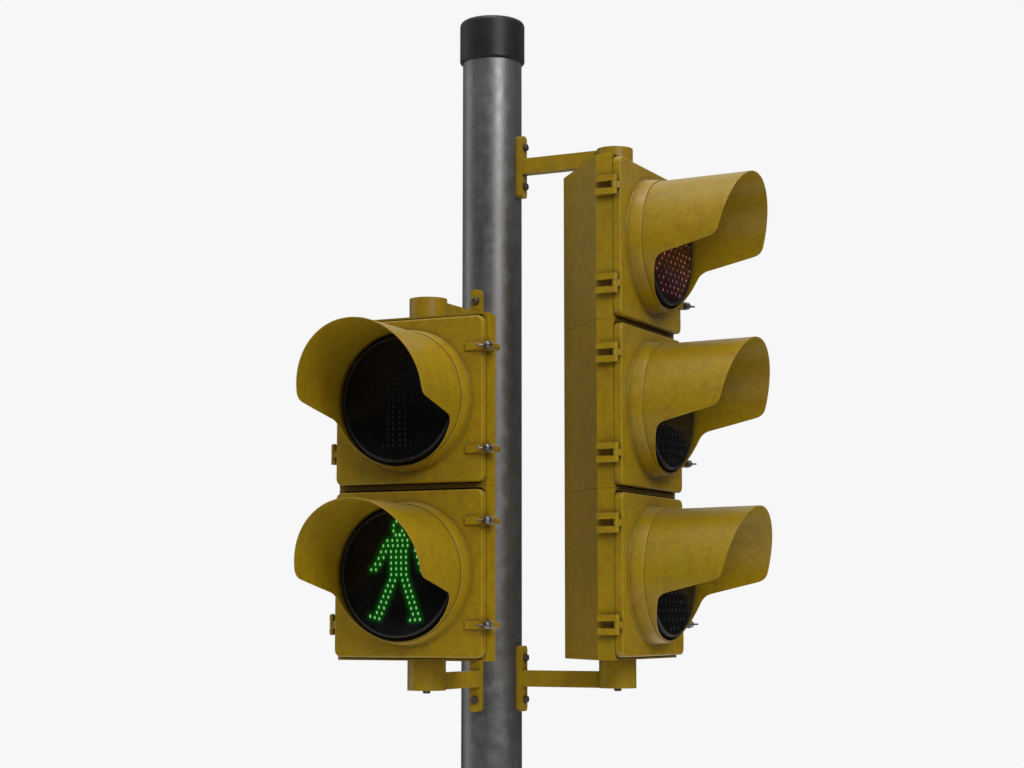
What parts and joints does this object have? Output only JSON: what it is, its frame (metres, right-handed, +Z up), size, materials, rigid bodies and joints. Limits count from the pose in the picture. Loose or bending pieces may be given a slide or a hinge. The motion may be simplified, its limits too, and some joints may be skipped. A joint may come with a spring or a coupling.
{
  "type": "pedestrian traffic light",
  "caption": "Street signal post with a pedestrian head and a vehicle head set at right angles, each on bracket arms, with hinged doors and cutaway visors.",
  "frame": {"origin": "on the ground under the middle of the pole, at the underside of its base plate", "axes": "+Z up along the pole, -Y the way the pedestrian head faces, +X the way the vehicle head faces"},
  "size_m": [0.8196, 0.8376, 3.6401],
  "materials": {
    "signal_yellow": "weathered satin paint on cast aluminium",
    "galvanised": "dull hot-dip galvanised",
    "black_plastic": "matt moulded",
    "zinc_steel": "zinc plated",
    "weathered_steel": "dark weathered",
    "lens": "dark glossy lens"
  },
  "bodies": {
    "post": {"pole": "galvanised", "pole_cap": "black_plastic", "hand_hole_cover": "galvanised", "hand_hole_screw": "weathered_steel", "pedestrian_upper_arm": "signal_yellow", "pedestrian_upper_plate_bolt_low": "weathered_steel", "pedestrian_upper_plate_bolt_high": "weathered_steel", "pedestrian_upper_hub_stud": "weathered_steel", "pedestrian_lower_arm": "signal_yellow", "pedestrian_lower_plate_bolt_low": "weathered_steel", "pedestrian_lower_plate_bolt_high": "weathered_steel", "pedestrian_lower_hub_stud": "weathered_steel", "vehicle_upper_arm": "signal_yellow", "vehicle_upper_plate_bolt_low": "weathered_steel", "vehicle_upper_plate_bolt_high": "weathered_steel", "vehicle_upper_hub_stud": "weathered_steel", "vehicle_lower_arm": "signal_yellow", "vehicle_lower_plate_bolt_low": "weathered_steel", "vehicle_lower_plate_bolt_high": "weathered_steel", "vehicle_lower_hub_stud": "weathered_steel"},
    "pedestrian_head": {"walk_housing": "signal_yellow", "walk_lower_hinge_pin": "zinc_steel", "walk_upper_hinge_pin": "zinc_steel", "stand_housing": "signal_yellow", "stand_lower_hinge_pin": "zinc_steel", "stand_upper_hinge_pin": "zinc_steel"},
    "walk_door": {"walk_door": "signal_yellow", "walk_visor": "signal_yellow", "walk_lamp": "lens"},
    "walk_lower_wing_screw": {"walk_lower_wing_screw": "zinc_steel"},
    "walk_upper_wing_screw": {"walk_upper_wing_screw": "zinc_steel"},
    "stand_door": {"stand_door": "signal_yellow", "stand_visor": "signal_yellow", "stand_lamp": "lens"},
    "stand_lower_wing_screw": {"stand_lower_wing_screw": "zinc_steel"},
    "stand_upper_wing_screw": {"stand_upper_wing_screw": "zinc_steel"},
    "vehicle_head": {"green_housing": "signal_yellow", "green_lower_hinge_pin": "zinc_steel", "green_upper_hinge_pin": "zinc_steel", "amber_housing": "signal_yellow", "amber_lower_hinge_pin": "zinc_steel", "amber_upper_hinge_pin": "zinc_steel", "red_housing": "signal_yellow", "red_lower_hinge_pin": "zinc_steel", "red_upper_hinge_pin": "zinc_steel"},
    "green_door": {"green_door": "signal_yellow", "green_visor": "signal_yellow", "green_lamp": "lens"},
    "green_lower_wing_screw": {"green_lower_wing_screw": "zinc_steel"},
    "green_upper_wing_screw": {"green_upper_wing_screw": "zinc_steel"},
    "amber_door": {"amber_door": "signal_yellow", "amber_visor": "signal_yellow", "amber_lamp": "lens"},
    "amber_lower_wing_screw": {"amber_lower_wing_screw": "zinc_steel"},
    "amber_upper_wing_screw": {"amber_upper_wing_screw": "zinc_steel"},
    "red_door": {"red_door": "signal_yellow", "red_visor": "signal_yellow", "red_lamp": "lens"},
    "red_lower_wing_screw": {"red_lower_wing_screw": "zinc_steel"},
    "red_upper_wing_screw": {"red_upper_wing_screw": "zinc_steel"}
  },
  "joints": [
    {"name": "pedestrian_head_aim", "type": "hinge", "parent": "post", "child": "pedestrian_head", "pos_m": [0, -0.302, 2.2], "axis": [0, 0, 1], "range_deg": [-45, 45]},
    {"name": "walk_door_hinge", "type": "hinge", "parent": "pedestrian_head", "child": "walk_door", "pos_m": [-0.1825, -0.378, 2.2], "axis": [0, 0, -1], "range_deg": [0, 110]},
    {"name": "walk_lower_wing_screw_turn", "type": "hinge", "parent": "walk_door", "child": "walk_lower_wing_screw", "pos_m": [0.1875, -0.3882, 2.273], "axis": [0, -1, 0], "continuous": true},
    {"name": "walk_upper_wing_screw_turn", "type": "hinge", "parent": "walk_door", "child": "walk_upper_wing_screw", "pos_m": [0.1875, -0.3882, 2.4828], "axis": [0, -1, 0], "continuous": true},
    {"name": "stand_door_hinge", "type": "hinge", "parent": "pedestrian_head", "child": "stand_door", "pos_m": [-0.1825, -0.378, 2.5556], "axis": [0, 0, -1], "range_deg": [0, 110]},
    {"name": "stand_lower_wing_screw_turn", "type": "hinge", "parent": "stand_door", "child": "stand_lower_wing_screw", "pos_m": [0.1875, -0.3882, 2.6286], "axis": [0, -1, 0], "continuous": true},
    {"name": "stand_upper_wing_screw_turn", "type": "hinge", "parent": "stand_door", "child": "stand_upper_wing_screw", "pos_m": [0.1875, -0.3882, 2.8384], "axis": [0, -1, 0], "continuous": true},
    {"name": "vehicle_head_aim", "type": "hinge", "parent": "post", "child": "vehicle_head", "pos_m": [0.302, 0, 2.2], "axis": [0, 0, 1], "range_deg": [-45, 45]},
    {"name": "green_door_hinge", "type": "hinge", "parent": "vehicle_head", "child": "green_door", "pos_m": [0.378, -0.1825, 2.2], "axis": [0, 0, -1], "range_deg": [0, 110]},
    {"name": "green_lower_wing_screw_turn", "type": "hinge", "parent": "green_door", "child": "green_lower_wing_screw", "pos_m": [0.3882, 0.1875, 2.273], "axis": [1, 0, 0], "continuous": true},
    {"name": "green_upper_wing_screw_turn", "type": "hinge", "parent": "green_door", "child": "green_upper_wing_screw", "pos_m": [0.3882, 0.1875, 2.4828], "axis": [1, 0, 0], "continuous": true},
    {"name": "amber_door_hinge", "type": "hinge", "parent": "vehicle_head", "child": "amber_door", "pos_m": [0.378, -0.1825, 2.5556], "axis": [0, 0, -1], "range_deg": [0, 110]},
    {"name": "amber_lower_wing_screw_turn", "type": "hinge", "parent": "amber_door", "child": "amber_lower_wing_screw", "pos_m": [0.3882, 0.1875, 2.6286], "axis": [1, 0, 0], "continuous": true},
    {"name": "amber_upper_wing_screw_turn", "type": "hinge", "parent": "amber_door", "child": "amber_upper_wing_screw", "pos_m": [0.3882, 0.1875, 2.8384], "axis": [1, 0, 0], "continuous": true},
    {"name": "red_door_hinge", "type": "hinge", "parent": "vehicle_head", "child": "red_door", "pos_m": [0.378, -0.1825, 2.9112], "axis": [0, 0, -1], "range_deg": [0, 110]},
    {"name": "red_lower_wing_screw_turn", "type": "hinge", "parent": "red_door", "child": "red_lower_wing_screw", "pos_m": [0.3882, 0.1875, 2.9842], "axis": [1, 0, 0], "continuous": true},
    {"name": "red_upper_wing_screw_turn", "type": "hinge", "parent": "red_door", "child": "red_upper_wing_screw", "pos_m": [0.3882, 0.1875, 3.194], "axis": [1, 0, 0], "continuous": true}
  ]
}
